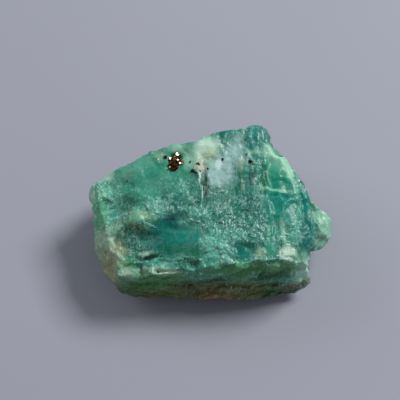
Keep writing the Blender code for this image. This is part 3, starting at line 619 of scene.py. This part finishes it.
def line_distance(plan, line):
    """Distance in plan from each point to a line of several points."""
    nearest = np.full(len(plan), np.inf)
    for start, end in zip(line, line[1:]):
        start = np.array(start)
        run = np.array(end) - start
        along = np.clip(((plan - start) @ run) / (run @ run), 0.0, 1.0)
        gap = np.linalg.norm(plan - start - along[:, None] * run, axis=1)
        nearest = np.minimum(nearest, gap)
    return nearest


def crease_depth(plan, line, half_width, depth):
    return depth * (1.0 - smooth_step(line_distance(plan, line), 0.0, half_width * 2.0))


# Usual sizes of the forms in the broken surface, along X, Y and Z where there are three
FACET_SIZE = 2.4
LUMP_SIZE = 1.15
GRAIN_SIZE = 0.62
FIBRE_SIZE = (0.55, 5.0, 2.2)
LAYER_SIZE = (4.6, 1.8, 1.0)
LAYER_TILT = math.radians(-16.0)
LAYER_BENDS = 2.2
LAYER_WANDER = 0.5
CREASE_WANDER = 0.25
CREASE_BENDS = 1.3
# The show face starts and is full at these heights and at these tilts of its surface
SHOW_FACE_RISE = (9.0, 10.5)
UP_FACING = (0.2, 0.6)
RELIEF = "relief"


def broken(points, normals, stone):
    """The points moved along their normals to the facets, grains and layers, and how far each stands out."""
    sugar, fibre, layer = breakage_of(points).T
    facets = lumps(points, FACET_SIZE, 11)
    small = lumps(points, LUMP_SIZE, 23)
    grains = lumps(points, GRAIN_SIZE, 37)
    threads = lumps(points, FIBRE_SIZE, 53)
    bends = [wave(points, LAYER_BENDS, offset) for offset in (15.0, 19.0, 23.0)]
    bent = points + LAYER_WANDER * np.stack(bends, axis=1)
    sheets = lumps(bent @ np.array(Matrix.Rotation(LAYER_TILT, 3, "Y")), LAYER_SIZE, 71)
    out = stone.facet_height / MM * facets * (0.35 + 0.65 * sugar)
    out += stone.lump_height / MM * small * (0.12 + 0.88 * sugar)
    out += stone.grain_height / MM * grains * (0.04 + 0.96 * sugar)
    out += stone.fibre_height / MM * threads * fibre
    out += stone.layer_height / MM * sheets * layer
    relief = (0.4 * facets + small + grains) * (0.15 + 0.85 * sugar) / 2.4
    relief += 0.5 * threads * fibre + 0.5 * sheets * layer
    for middle, half, far in GROWTHS.values():
        out += far * ball_share(points, middle, half)
    wander = np.stack([wave(points, CREASE_BENDS, offset) for offset in (5.0, 9.0)], axis=1)
    plan = points[:, :2] + CREASE_WANDER * wander
    on_show_face = smooth_step(normals[:, 2], *UP_FACING) * smooth_step(points[:, 2], *SHOW_FACE_RISE)
    dug = sum(crease_depth(plan, *crease) for crease in CREASES.values()) * on_show_face
    moved = points + normals * out[:, None]
    moved[:, 2] -= dug
    return moved, relief - dug


# The filling of the pit goes this far past the crystals, and ends this far under their tops
PIT_REACH = 0.45
PIT_FILL = 0.70
PIT_SIDES = 14
# Points nearer to each other than this, in millimetres, are one
WELD = 0.001


def pit_filling():
    """A block that closes the pit round the crystals, up to a little under their tops."""
    low, high = (np.array(corner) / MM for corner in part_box("pyrite_cluster"))
    middle = (low + high) / 2.0
    reach = (high - low) / 2.0 + PIT_REACH
    shape = bmesh.new()
    for number in range(PIT_SIDES):
        turn = 2.0 * math.pi * number / PIT_SIDES
        for height in (low[2] - PIT_REACH, high[2] - PIT_FILL):
            place = (middle[0] + reach[0] * math.cos(turn), middle[1] + reach[1] * math.sin(turn), height)
            shape.verts.new(Vector(place) * MM)
    bmesh.ops.convex_hull(shape, input=shape.verts)
    bmesh.ops.recalc_face_normals(shape, faces=shape.faces)
    return shape


def stone_skin(stone):
    """The lump's solid as one fine even skin, with the pit filled and the flat joints smoothed away."""
    shape = bmesh.new()
    shape.from_mesh(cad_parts["stone"].data)
    bmesh.ops.remove_doubles(shape, verts=shape.verts, dist=WELD * MM)
    filling = pit_filling()
    for corners in PIECES.values():
        made = [filling.verts.new(Vector(place) * MM) for place in corners]
        hull = bmesh.ops.convex_hull(filling, input=made)["geom"]
        faces = [part for part in hull if isinstance(part, bmesh.types.BMFace)]
        bmesh.ops.recalc_face_normals(filling, faces=faces)
    plug = bpy.data.meshes.new("plug")
    filling.to_mesh(plug)
    filling.free()
    shape.from_mesh(plug)
    mesh = bpy.data.meshes.new("stone_surface")
    shape.to_mesh(mesh)
    shape.free()
    obj = add_object("stone_working", mesh)
    skin = obj.modifiers.new("Even skin", "REMESH")
    skin.mode = "VOXEL"
    skin.voxel_size = stone.fineness * 1.0
    soft = obj.modifiers.new("Soften", "SMOOTH")
    soft.factor = 0.5
    soft.iterations = stone.smoothing
    result = evaluated_mesh(obj)
    bpy.data.objects.remove(obj, do_unlink=True)
    bpy.data.meshes.remove(plug)
    return result


# Edges shorter than this, in millimetres, are slivers
SLIVER = 0.002


def parts_of(shape):
    """The vertices of each part of a mesh that hangs together."""
    parts = []
    left = set(shape.verts)
    for start in shape.verts:
        if start not in left:
            continue
        left.discard(start)
        part = [start]
        for vert in part:
            for edge in vert.link_edges:
                other = edge.other_vert(vert)
                if other in left:
                    left.discard(other)
                    part.append(other)
        parts.append(part)
    return parts


def cleaned(mesh):
    """The same mesh without slivers and without what hangs loose beside its largest part."""
    shape = bmesh.new()
    shape.from_mesh(mesh)
    bmesh.ops.dissolve_degenerate(shape, edges=shape.edges, dist=SLIVER * MM)
    for part in sorted(parts_of(shape), key=len)[:-1]:
        bmesh.ops.delete(shape, geom=part, context="VERTS")
    shape.to_mesh(mesh)
    shape.free()
    return mesh


def closed_parts(mesh):
    """The same mesh with each of its parts as a closed convex body."""
    rough = bmesh.new()
    rough.from_mesh(mesh)
    bmesh.ops.remove_doubles(rough, verts=rough.verts, dist=SLIVER * MM)
    shape = bmesh.new()
    for part in parts_of(rough):
        made = [shape.verts.new(vert.co) for vert in part]
        inside = bmesh.ops.convex_hull(shape, input=made)["geom_interior"]
        inside = [item for item in inside if isinstance(item, bmesh.types.BMVert)]
        bmesh.ops.delete(shape, geom=inside, context="VERTS")
    shape.to_mesh(mesh)
    rough.free()
    shape.free()
    return mesh


def thinned(mesh, triangles):
    """The same surface with no more than the given number of triangles."""
    mesh.calc_loop_triangles()
    share = triangles / len(mesh.loop_triangles)
    if share >= 1.0:
        return mesh
    obj = add_object("thinning", mesh)
    modifier = obj.modifiers.new("Thin", "DECIMATE")
    modifier.ratio = share
    result = evaluated_mesh(obj)
    bpy.data.objects.remove(obj, do_unlink=True)
    return result


SHARP_ANGLE = math.radians(32.0)


class Wiring:
    """Adds nodes to a tree and joins them, so that a material reads as a list of steps."""

    def __init__(self, tree):
        self.tree = tree

    def fill(self, node, values):
        """Sets or joins a node's inputs, by name or number."""
        for name, value in dict(values).items():
            if isinstance(value, bpy.types.NodeSocket):
                self.tree.links.new(value, node.inputs[name])
            else:
                node.inputs[name].default_value = value

    def add(self, kind, values=(), **settings):
        """A node with its settings and its inputs."""
        made = self.tree.nodes.new(kind)
        for name, value in settings.items():
            setattr(made, name, value)
        self.fill(made, values)
        return made

    def math(self, operation, first, second):
        return self.add("ShaderNodeMath", {0: first, 1: second}, operation=operation).outputs[0]

    def vector(self, operation, first, second):
        return self.add("ShaderNodeVectorMath", {0: first, 1: second}, operation=operation).outputs[0]

    def scaled(self, place, factor):
        return self.add("ShaderNodeVectorMath", {0: place, "Scale": factor}, operation="SCALE").outputs[0]

    def turned(self, place, axis, angle):
        values = {"Vector": place, "Axis": axis, "Angle": angle}
        return self.add("ShaderNodeVectorRotate", values, rotation_type="AXIS_ANGLE").outputs[0]

    def ramp(self, value, low, high, to_low=0.0, to_high=1.0):
        """The value spread smoothly from low and high to the two results."""
        values = {"Value": value, "From Min": low, "From Max": high, "To Min": to_low, "To Max": to_high}
        return self.add("ShaderNodeMapRange", values, interpolation_type="SMOOTHSTEP").outputs[0]

    def blend(self, share, below, above):
        """Two colours mixed."""
        return self.add("ShaderNodeMix", {0: share, 6: below, 7: above}, data_type="RGBA").outputs[2]

    def blend_vectors(self, share, below, above):
        return self.add("ShaderNodeMix", {0: share, 4: below, 5: above}, data_type="VECTOR").outputs[1]

    def noise(self, place, size, detail=2.0, distortion=0.0, roughness=0.55, output=0):
        """Soft noise with bumps of a size, each axis with its own if three are given."""
        if isinstance(size, tuple):
            place = self.vector("DIVIDE", place, size)
            size = 1.0
        values = {
            "Vector": place,
            "Scale": 1.0 / size,
            "Detail": detail,
            "Roughness": roughness,
            "Distortion": distortion,
        }
        return self.add("ShaderNodeTexNoise", values).outputs[output]

    def wander(self, place, size, reach):
        """Soft shifts of the place, to all sides."""
        shift = self.vector("SUBTRACT", self.noise(place, size, output="Color"), (0.5, 0.5, 0.5))
        return self.scaled(shift, reach)

    def chance(self, place, size, channel):
        """One chance value for each small cell."""
        values = {"Vector": self.vector("DIVIDE", place, size), "Scale": 1.0}
        colour = self.add("ShaderNodeTexVoronoi", values).outputs["Color"]
        return self.add("ShaderNodeSeparateColor", {0: colour}).outputs[channel]

    def bump(self, height, strength, distance):
        values = {"Strength": strength, "Distance": distance, "Height": height}
        return self.add("ShaderNodeBump", values).outputs[0]


def new_material(name):
    """A material with its wiring, its shader and the place on the surface in millimetres."""
    material = bpy.data.materials.new(name)
    material.use_nodes = True
    wires = Wiring(material.node_tree)
    spot = wires.add("ShaderNodeTexCoord").outputs["Object"]
    return material, wires, material.node_tree.nodes["Principled BSDF"], wires.scaled(spot, 1.0 / MM)


def patch_group():
    """A node group that lays one patch over the colour and breakage below it."""
    group = bpy.data.node_groups.new("colour_patch", "ShaderNodeTree")
    sockets = {
        "Vector": ("Place", "Middle", "Half size", "Breakage below", "Breakage"),
        "Float": ("Turn", "Inner", "Outer", "Strength"),
        "Color": ("Colour below", "Colour"),
    }
    for kind, names in sockets.items():
        for name in names:
            group.interface.new_socket(name, in_out="INPUT", socket_type="NodeSocket" + kind)
    group.interface.new_socket("Colour", in_out="OUTPUT", socket_type="NodeSocketColor")
    group.interface.new_socket("Breakage", in_out="OUTPUT", socket_type="NodeSocketVector")
    wires = Wiring(group)
    given = wires.add("NodeGroupInput").outputs
    away = wires.vector("SUBTRACT", given["Place"], given["Middle"])
    turned = wires.turned(away, (0.0, 0.0, 1.0), given["Turn"])
    scaled = wires.vector("DIVIDE", turned, given["Half size"])
    radius = wires.add("ShaderNodeVectorMath", {0: scaled}, operation="LENGTH").outputs["Value"]
    inside = wires.ramp(radius, given["Inner"], given["Outer"], 1.0, 0.0)
    share = wires.math("MULTIPLY", inside, given["Strength"])
    colour = wires.blend(share, given["Colour below"], given["Colour"])
    breakage = wires.blend_vectors(share, given["Breakage below"], given["Breakage"])
    wires.add("NodeGroupOutput", {"Colour": colour, "Breakage": breakage})
    return group


# Patches narrower than this, in millimetres, keep to their place
NARROW = 0.85


def opaque(colour):
    return tuple(colour) + (1.0,)


def stone_material(palette):
    """Clear, milky, sugary and layered zones of one green mineral, with painted shade and painted highlights.
    """
    material, wires, shader, place = new_material("green_hauyne")

    # Zone edges wander by up to a millimetre, those of narrow patches by less
    drift = wires.wander(place, 2.8, 1.8)
    ragged = wires.wander(place, 0.55, 1.1)
    zoned = wires.vector("ADD", wires.vector("ADD", place, drift), ragged)
    steady = wires.vector("ADD", place, wires.scaled(ragged, 0.35))

    # The usual colour, with clearer and paler stretches
    clear = wires.ramp(wires.noise(place, 5.0, 3.0, 0.6), 0.42, 0.62)
    colour = wires.blend(clear, opaque(palette.sea_green), opaque(palette.shade_green))
    elsewhere = wires.vector("ADD", place, (31.0, 7.0, 3.0))
    pale = wires.ramp(wires.noise(elsewhere, 4.0, 3.0, 0.8), 0.55, 0.7)
    colour = wires.blend(pale, colour, opaque(palette.sugar))
    breakage = HALF_SUGAR
    group = patch_group()
    for zone, key, middle, half, broken_as, strength, softness, turn in PATCHES:
        values = {
            "Place": steady if min(half[:2]) < NARROW else zoned,
            "Middle": middle,
            "Half size": half,
            "Turn": -math.radians(turn),
            "Inner": 1.0 - softness,
            "Outer": 1.0 + softness,
            "Strength": strength,
            "Colour below": colour,
            "Breakage below": breakage,
            "Colour": opaque(getattr(palette, key)),
            "Breakage": broken_as,
        }
        patch = wires.add("ShaderNodeGroup", values, node_tree=group, label=zone)
        colour, breakage = patch.outputs
    sugar, fibre, layer = wires.add("ShaderNodeSeparateXYZ", {0: breakage}).outputs

    # What the finer markings follow
    cloudy = wires.ramp(sugar, 0.0, 0.7, 0.15, 1.0)
    veined = wires.ramp(sugar, 0.0, 0.5, 0.5, 1.0)
    clump = wires.ramp(wires.noise(place, 1.25, 3.0, 1.2, 0.62), 0.40, 0.62, 0.15, 1.0)
    frosted = wires.math("MULTIPLY", clump, sugar)
    upright = wires.math("MULTIPLY", fibre, sugar)
    bent = wires.vector("ADD", place, wires.scaled(drift, 0.35))
    tilted = wires.turned(place, (0.0, 1.0, 0.0), -LAYER_TILT)
    cloud = wires.noise(place, 1.7, 4.0, 1.4, 0.62)
    lines = wires.noise(bent, (0.20, 1.8, 0.8), 2.0, 0.4)
    rungs = wires.noise(bent, (2.2, 0.20, 0.20), 2.0, 0.4)
    threads = wires.noise(bent, (0.42, 2.4, 1.2), 4.0, 0.8, 0.65)
    sheets = wires.noise(tilted, (3.0, 1.4, 0.60), 3.0, 0.9)
    grit = wires.noise(place, 0.40, 3.0, 0.6, 0.68)
    glint_flakes = wires.chance(place, (0.30, 0.55, 0.40), 0)
    slivers = wires.chance(bent, (0.16, 0.80, 0.50), 1)
    relief = wires.add("ShaderNodeAttribute", (), attribute_name=RELIEF).outputs["Fac"]

    # Markings, later ones over earlier ones: colour, value, where it starts and is full, most share, weight
    markings = (
        # Clouds and darker drifts inside the mineral, faint where it is clear
        ("mint", cloud, 0.52, 0.70, 0.24, cloudy),
        ("shadow_green", cloud, 0.48, 0.30, 0.38, cloudy),
        # Cleavage lines, fibres along Y and layers along X
        ("mint", lines, 0.58, 0.70, 0.24, veined),
        ("mint", rungs, 0.60, 0.72, 0.18, veined),
        ("mint", threads, 0.55, 0.72, 0.34, fibre),
        ("shadow_green", threads, 0.46, 0.30, 0.50, fibre),
        ("lip_green", sheets, 0.54, 0.74, 0.55, layer),
        ("dark_moss", sheets, 0.48, 0.32, 0.75, layer),
        # Sugar: frosted grit in clumps, dark gaps, and single and upright bright grains, partly painted glints
        ("pale_mint", grit, 0.53, 0.63, 0.78, frosted),
        ("shadow_green", grit, 0.46, 0.34, 0.50, sugar),
        ("sparkle", glint_flakes, 0.91, 0.94, 0.90, frosted),
        ("sparkle", slivers, 0.74, 0.80, 0.85, upright),
        # Crushed tops are paler; gaps and creases are darker, painted shade where the surface sinks
        ("pale_mint", relief, 0.12, 0.45, 0.22, cloudy),
        ("shadow_green", relief, -0.15, -0.55, 0.40, 1.0),
    )
    for key, value, start, full, most, weight in markings:
        share = wires.math("MULTIPLY", wires.ramp(value, start, full, 0.0, most), weight)
        colour = wires.blend(share, colour, opaque(getattr(palette, key)))

    # Glassy where it is clear, crisper where it is sugary or layered
    broken_share = wires.math("MAXIMUM", sugar, layer)
    polish = wires.ramp(wires.noise(place, 0.9, 3.0), 0.3, 0.7, -0.05, 0.08)
    values = {
        "Base Color": colour,
        "Roughness": wires.math("ADD", wires.ramp(broken_share, 0.0, 1.0, 0.28, 0.20), polish),
        "Normal": wires.bump(grit, 0.5, 0.10 * MM),
        "IOR": 1.50,
        "Specular IOR Level": 0.25,
        "Coat Weight": 0.06,
        "Coat Roughness": 0.08,
        "Subsurface Weight": 0.15,
        "Subsurface Radius": (0.6, 1.0, 0.85),
        "Subsurface Scale": 0.4 * MM,
    }
    wires.fill(shader, values)
    return material


class HAUYNE_OT_stone(Operator):
    """Builds the broken surface of the lump over its solid"""

    bl_idname = "hauyne.stone"
    bl_label = "Stone surface"

    def execute(self, context):
        stone = settings_of(context).stone
        mesh = stone_skin(stone)
        points, relief = broken(read_points(mesh), read_points(mesh, normals=True), stone)
        points[:, 2] = np.maximum(points[:, 2], 0.0)
        write_points(mesh, points)
        mesh.attributes.new(RELIEF, "FLOAT", "POINT").data.foreach_set("value", relief.astype(np.float32))
        mesh = cleaned(thinned(mesh, stone.triangles))
        mesh.name = "stone_surface"
        mesh.shade_smooth()
        mesh.set_sharp_from_angle(angle=SHARP_ANGLE)
        mesh.materials.clear()
        mesh.materials.append(stone_material(settings_of(context).palette))
        obj = add_object("stone_surface", mesh)
        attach(obj, "root")
        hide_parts("stone")
        return {"FINISHED"}


# Chance ranges of a crystal's stretch and of how much of the usual cut its corners have
STRETCH = (0.85, 1.15)
TRIM = (0.4, 1.3)


def any_turn(source):
    """A chance direction for a crystal."""
    turns = [Matrix.Rotation(source.uniform(0.0, math.pi), 3, axis) for axis in "XYZ"]
    return turns[2] @ turns[1] @ turns[0]


def crystal(shape, middle, width, turned, cut, source):
    """Adds one cube with corners cut by uneven amounts to the mesh, at a place in millimetres."""
    stretch = [source.uniform(*STRETCH) for _ in range(3)]
    made = []
    for signs in np.ndindex(2, 2, 2):
        signs = [2 * sign - 1 for sign in signs]
        trim = cut * source.uniform(*TRIM)
        for axis in range(3):
            corner = [width / 2.0 * sign * share for sign, share in zip(signs, stretch)]
            corner[axis] *= 1.0 - trim
            place = Vector(middle) + turned @ Vector(corner)
            made.append(shape.verts.new(place * MM))
    bmesh.ops.convex_hull(shape, input=made)


STAIN = (0.035, 0.016, 0.008, 1.0)
CRYSTAL_SHARP_ANGLE = math.radians(25.0)


def metal_material(name, bright, tarnish, bare):
    """Metallic crystal faces under tarnish, which leaves them bare where a soft noise is above a level."""
    material, wires, shader, place = new_material(name)
    film = wires.noise(place, 0.7, 4.0, 0.8, 0.65)
    colour = wires.blend(wires.ramp(film, bare, bare + 0.10), opaque(tarnish), opaque(bright))
    stain = wires.ramp(wires.noise(place, 0.3, 3.0), 0.5, 0.3, 0.0, 0.7)
    values = {
        "Base Color": wires.blend(stain, colour, STAIN),
        "Roughness": wires.ramp(film, 0.4, 0.7, 0.45, 0.2),
        "Normal": wires.bump(wires.noise(place, (0.6, 0.05, 0.3)), 0.4, 0.02 * MM),
        "Metallic": 1.0,
    }
    wires.fill(shader, values)
    return material


def finished(shape, name, bevel, material):
    """The crystals as one object with worn edges."""
    bmesh.ops.recalc_face_normals(shape, faces=shape.faces)
    mesh = bpy.data.meshes.new(name)
    shape.to_mesh(mesh)
    shape.free()
    obj = add_object(name, mesh)
    worn = obj.modifiers.new("Worn edges", "BEVEL")
    worn.width = bevel
    worn.segments = 2
    worn.limit_method = "ANGLE"
    result = closed_parts(evaluated_mesh(obj))
    result.name = name
    obj.modifiers.clear()
    obj.data = result
    result.shade_smooth()
    result.set_sharp_from_angle(angle=CRYSTAL_SHARP_ANGLE)
    result.materials.clear()
    result.materials.append(material)
    return obj


# Crystals of the cluster: place in shares of its half size, width in shares of the usual width and how far
# it stands up in millimetres. The bright ones have a face that looks towards the light and a lit copy of the
# tarnished finish, barer and brighter: a painted highlight.
TARNISHED = (
    (-0.15, 0.05, 1.30, 0.05), (0.30, 0.30, 1.10, -0.05), (0.02, 0.42, 0.95, 0.10),
    (-0.40, 0.50, 0.80, -0.15), (-0.55, -0.05, 1.00, -0.10), (-0.50, -0.48, 1.10, -0.15),
    (-0.10, -0.45, 1.10, 0.00), (-0.20, -0.88, 0.80, -0.25), (-0.62, -0.80, 0.70, -0.25),
    (0.22, -0.60, 0.75, -0.20), (0.45, -0.20, 0.85, -0.05), (0.72, 0.12, 0.75, -0.20),
    (1.05, 0.10, 0.55, -0.15), (1.12, -0.16, 0.45, -0.20), (0.45, 0.66, 0.70, -0.15),
    (-0.02, 0.86, 0.60, -0.15), (0.62, 0.42, 0.50, -0.10), (-0.90, -0.42, 0.50, -0.20),
)
BRIGHT = (
    (0.24, 0.80, 0.75, 0.20), (-0.92, 0.26, 0.50, 0.15), (0.30, -0.02, 0.42, 0.38),
    (0.70, -0.30, 0.40, 0.12), (-0.88, -0.72, 0.35, -0.05),
)
CLUSTER_SPREAD = 1.22
TOWARDS_LIGHT = (0.32, -0.09, 0.94)
CORNER_CUT = 0.22
MOST_TIP = 0.9
CLUSTER_SEED = 5


class HAUYNE_OT_cluster(Operator):
    """Builds the metallic crystals that stand in the pit of the show face"""

    bl_idname = "hauyne.cluster"
    bl_label = "Crystal cluster"

    def execute(self, context):
        crystals = settings_of(context).crystals
        low, high = (np.array(corner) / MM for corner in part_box("pyrite_cluster"))
        middle = (low + high) / 2.0
        reach = (high - low) / 2.0 * CLUSTER_SPREAD
        source = random.Random(CLUSTER_SEED)
        dark, bright = bmesh.new(), bmesh.new()
        rows = [(row, False) for row in TARNISHED] + [(row, True) for row in BRIGHT]
        for (along, across, share, rise), lit in rows:
            width = crystals.width / MM * share
            place = middle + np.array((along, across, 0.0)) * np.maximum(reach - width * 0.4, 0.0)
            place[2] = high[2] - width * 0.5 + rise
            turn = Matrix.Rotation(source.uniform(0.0, math.pi), 3, "Z")
            if lit:
                turn = Vector(TOWARDS_LIGHT).to_track_quat("Z", "Y").to_matrix() @ turn
            else:
                tips = [source.uniform(-MOST_TIP, MOST_TIP) for _ in range(2)]
                turn = Matrix.Rotation(tips[0], 3, "X") @ Matrix.Rotation(tips[1], 3, "Y") @ turn
            crystal(bright if lit else dark, place, width, turn, CORNER_CUT, source)
        tarnished = metal_material("tarnished_pyrite", crystals.bright, crystals.tarnish, bare=0.60)
        obj = finished(dark, "pyrite_crystals", crystals.bevel, tarnished)
        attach(obj, "root")
        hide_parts("pyrite_cluster")
        # Painted highlight: the crystals that face the light take a lit copy of the finish, barer and brighter
        lit_copy = metal_material("lit_pyrite", crystals.bright, crystals.tarnish, bare=0.40)
        obj = finished(bright, "pyrite_bright_crystals", crystals.bevel, lit_copy)
        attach(obj, "root")
        return {"FINISHED"}


# Two crystals make a small grain: their shares of its width, how far they may lie apart and stand up
GRAIN_PAIR = (1.0, 0.7)
GRAIN_APART = 0.4
GRAIN_RISE = 0.08
GRAIN_WEAR = 0.4
GRAIN_SEED = 9
ABOVE_LUMP = 40.0


class HAUYNE_OT_grains(Operator):
    """Sets the small dark metallic grains in the show face"""

    bl_idname = "hauyne.grains"
    bl_label = "Small grains"

    def execute(self, context):
        crystals = settings_of(context).crystals
        skin = bpy.data.objects["stone_surface"]
        mesh = skin.data
        tree = BVHTree.FromPolygons([v.co for v in mesh.vertices], [p.vertices for p in mesh.polygons])
        source = random.Random(GRAIN_SEED)
        shape = bmesh.new()
        for x, y, width in SMALL_CRYSTALS:
            hit = tree.ray_cast(Vector((x, y, ABOVE_LUMP)) * MM, Vector((0.0, 0.0, -1.0)))[0]
            if hit is None:
                raise RuntimeError(f"no stone under the small grain at {x}, {y}")
            for share in GRAIN_PAIR:
                place = np.array(hit) / MM
                place[:2] += [source.uniform(-GRAIN_APART, GRAIN_APART) * width for _ in range(2)]
                place[2] += width * GRAIN_RISE
                crystal(shape, place, width * share, any_turn(source), CORNER_CUT, source)
        grain_metal = metal_material("dark_pyrite", crystals.tarnish, crystals.dark, bare=0.60)
        obj = finished(shape, "pyrite_grains", crystals.bevel * GRAIN_WEAR, grain_metal)
        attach(obj, "root")
        return {"FINISHED"}


def look_at(obj, place, target):
    obj.location = place
    obj.rotation_euler = (Vector(target) - Vector(place)).to_track_quat("-Z", "Y").to_euler()


def add_light(name, size, energy, colour):
    light = bpy.data.lights.new(name, "AREA")
    light.shape = "RECTANGLE"
    light.size, light.size_y = size
    light.energy = energy
    light.color = colour
    return add_object(name, light)


def floor_material(colour):
    """Plain matt paper with a very faint unevenness."""
    material, wires, shader, place = new_material("plain_floor")
    faint = wires.ramp(wires.noise(place, 50.0, 3.0), 0.3, 0.7, 0.0, 0.06)
    tint = wires.blend(faint, opaque(colour), opaque([value * 0.8 for value in colour]))
    wires.fill(shader, {"Base Color": tint, "Roughness": 0.85})
    return material


FLOOR_HALF = 1.5
# The soft lights: name, place and size in metres, power and colour
LIGHTS = (
    ("window_light", (0.34, 0.20, 0.48), (0.22, 0.22), 2.95, (1.0, 0.99, 0.97)),
    ("side_fill", (-0.42, 0.20, 0.30), (0.30, 0.30), 0.5, (0.97, 0.98, 1.0)),
)
SKY_COLOUR = (0.84, 0.85, 0.88, 1.0)
SKY_STRENGTH = 0.27


class HAUYNE_OT_stage(Operator):
    """Lays the plain floor and sets the soft lights and the camera"""

    bl_idname = "hauyne.stage"
    bl_label = "Floor, lights and camera"

    def execute(self, context):
        stage = settings_of(context).stage
        shape = bmesh.new()
        bmesh.ops.create_grid(shape, x_segments=4, y_segments=4, size=FLOOR_HALF)
        mesh = bpy.data.meshes.new("floor")
        shape.to_mesh(mesh)
        shape.free()
        mesh.materials.append(floor_material(stage.floor))
        add_object("floor", mesh)

        target = Vector(VIEW_MIDDLE) * MM
        for name, place, size, energy, colour in LIGHTS:
            look_at(add_light(name, size, energy, colour), place, target)

        world = bpy.data.worlds.new("studio")
        world.use_nodes = True
        sky = world.node_tree.nodes["Background"]
        sky.inputs["Color"].default_value = SKY_COLOUR
        sky.inputs["Strength"].default_value = SKY_STRENGTH
        context.scene.world = world
        context.scene.view_settings.view_transform = "Standard"

        camera = bpy.data.cameras.new("camera")
        camera.sensor_width = SENSOR
        camera.lens = SENSOR * stage.distance / stage.view_width
        camera.clip_start = 0.01
        obj = add_object("camera", camera)
        back = Vector((0.0, -math.cos(stage.elevation), math.sin(stage.elevation)))
        look_at(obj, target + back * stage.distance, target)
        context.scene.camera = obj
        return {"FINISHED"}


class HauyneSettings(PropertyGroup):
    """Everything that a user would change on the specimen."""

    palette: PointerProperty(type=HauynePalette)
    stone: PointerProperty(type=HauyneStone)
    crystals: PointerProperty(type=HauyneCrystals)
    stage: PointerProperty(type=HauyneStage)


OPERATORS = (HAUYNE_OT_stone, HAUYNE_OT_cluster, HAUYNE_OT_grains, HAUYNE_OT_stage)


class HAUYNE_PT_panel(Panel):
    """Lists the steps that build the specimen, with their sizes and colours"""

    bl_idname = "HAUYNE_PT_panel"
    bl_label = "Green hauyne"
    bl_space_type = "VIEW_3D"
    bl_region_type = "UI"
    bl_category = "Hauyne"

    def draw(self, context):
        settings = settings_of(context)
        for operator in OPERATORS:
            self.layout.operator(operator.bl_idname)
        for group in (settings.stone, settings.crystals, settings.stage, settings.palette):
            box = self.layout.box()
            for key in group.__annotations__:
                box.prop(group, key)


CLASSES = (
    HauynePalette,
    HauyneStone,
    HauyneCrystals,
    HauyneStage,
    HauyneSettings,
    *OPERATORS,
    HAUYNE_PT_panel,
)


def register():
    for item in CLASSES:
        bpy.utils.register_class(item)
    bpy.types.Scene.hauyne = PointerProperty(type=HauyneSettings)


def unregister():
    del bpy.types.Scene.hauyne
    for item in reversed(CLASSES):
        bpy.utils.unregister_class(item)


def main():
    register()
    bpy.ops.hauyne.stone()
    bpy.ops.hauyne.cluster()
    bpy.ops.hauyne.grains()
    bpy.ops.hauyne.stage()


if __name__ == "__main__":
    main()
